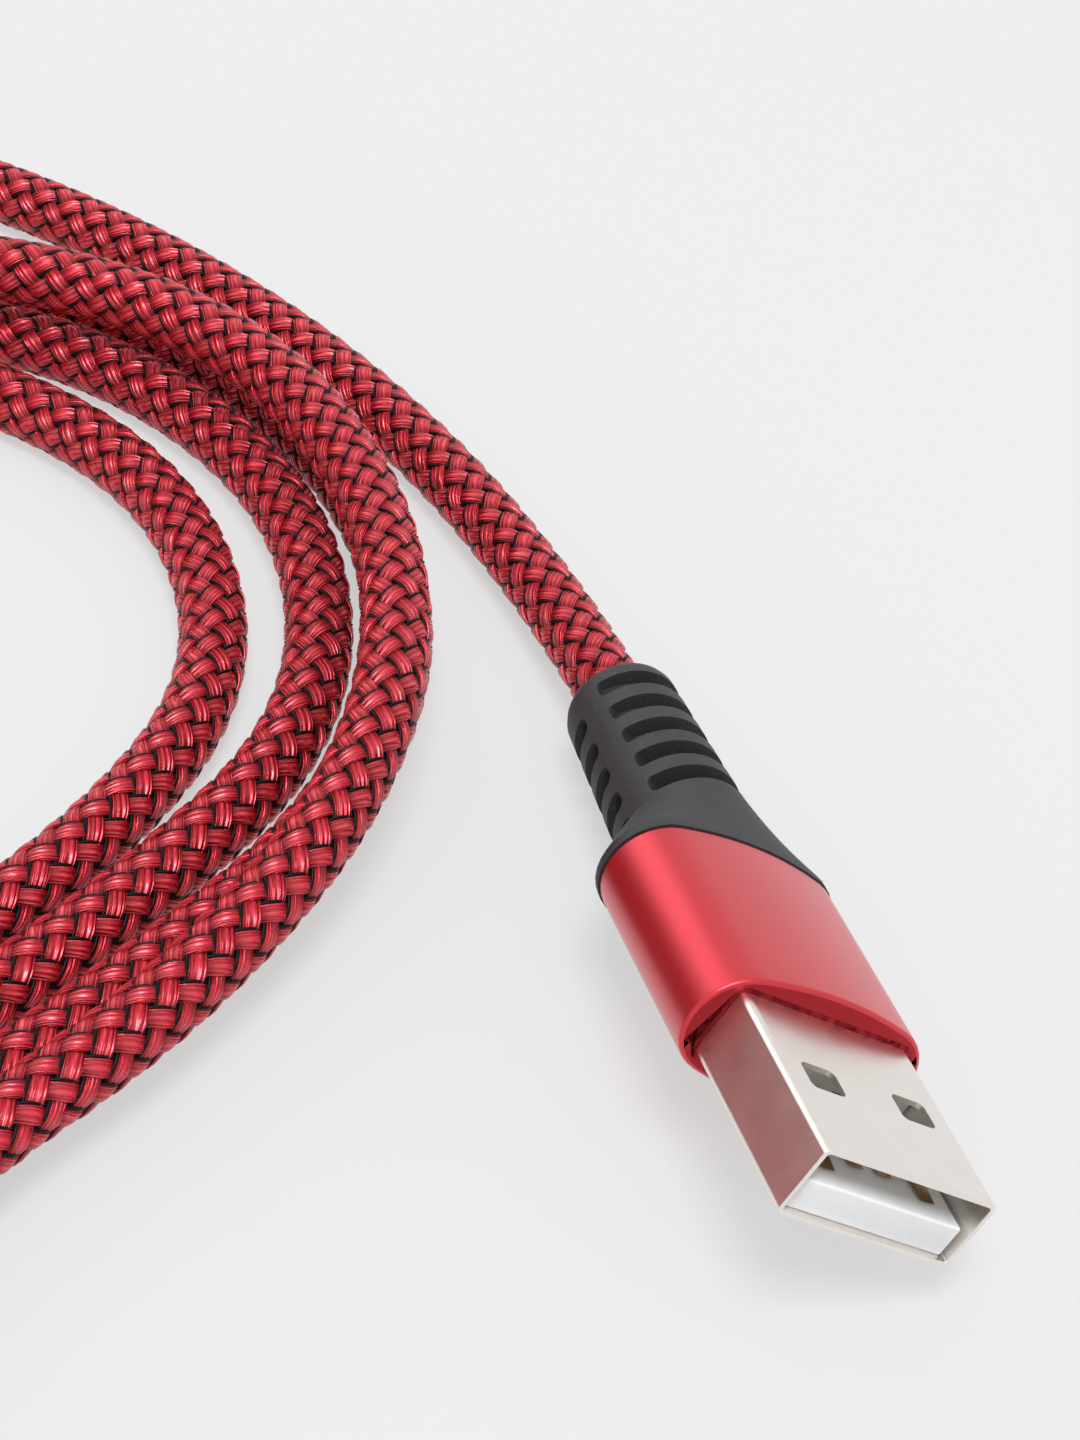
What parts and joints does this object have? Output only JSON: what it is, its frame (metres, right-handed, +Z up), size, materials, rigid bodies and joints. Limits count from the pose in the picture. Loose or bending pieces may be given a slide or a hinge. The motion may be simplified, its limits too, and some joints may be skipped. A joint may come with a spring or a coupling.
{
  "type": "charging cable",
  "caption": "Braided red charging cable with a USB-A plug and a USB-C plug, laid in a loose round coil with the USB-A plug beside it.",
  "frame": {"origin": "on the surface the cable lies on, at the centre of the two plugs' overall box in plan", "axes": "+Z up from the surface; both plugs' tips point along -Y; +X runs from the USB-C plug toward the USB-A plug, the longest extent of the two plugs together"},
  "size_m": [0.1311, 0.1418, 0.0135],
  "materials": {
    "relief_rubber": "matt soft-touch, finely grained",
    "red_shell": "satin anodised red",
    "plated_steel": "bright nickel plating",
    "gold_contacts": "gold plated",
    "spring_steel": "bare spring steel",
    "white_plastic": "plain white moulding",
    "black_plastic": "plain black moulding",
    "circuit_board": "green solder mask",
    "wire_red": "soft insulation",
    "wire_white": "soft insulation",
    "wire_green": "soft insulation",
    "wire_black": "soft insulation",
    "braid": "red woven nylon with a fine black thread"
  },
  "bodies": {
    "root": {"cable_coil": "braid", "cable_tail_a": "braid", "cable_tail_c": "braid", "usb_a_cable_end": "braid", "usb_a_contact_dminus": "gold_contacts", "usb_a_contact_dplus": "gold_contacts", "usb_a_contact_gnd": "gold_contacts", "usb_a_contact_vbus": "gold_contacts", "usb_a_crimp_ring": "spring_steel", "usb_a_housing": "red_shell", "usb_a_inner_mould": "white_plastic", "usb_a_shell": "plated_steel", "usb_a_strain_relief": "relief_rubber", "usb_a_tongue": "white_plastic", "usb_a_wire_comb": "white_plastic", "usb_a_wire_dminus": "wire_white", "usb_a_wire_dplus": "wire_green", "usb_a_wire_gnd": "wire_black", "usb_a_wire_vbus": "wire_red", "usb_c_board": "circuit_board", "usb_c_cable_end": "braid", "usb_c_contacts_lower": "gold_contacts", "usb_c_contacts_upper": "gold_contacts", "usb_c_crimp_ring": "spring_steel", "usb_c_emi_spring_lower": "spring_steel", "usb_c_emi_spring_upper": "spring_steel", "usb_c_housing": "red_shell", "usb_c_inner_mould": "white_plastic", "usb_c_insulator": "black_plastic", "usb_c_latch_springs": "spring_steel", "usb_c_resistor": "black_plastic", "usb_c_shell": "plated_steel", "usb_c_strain_relief": "relief_rubber", "usb_c_wire_dminus": "wire_white", "usb_c_wire_dplus": "wire_green", "usb_c_wire_gnd": "wire_black", "usb_c_wire_vbus": "wire_red"}
  },
  "joints": []
}
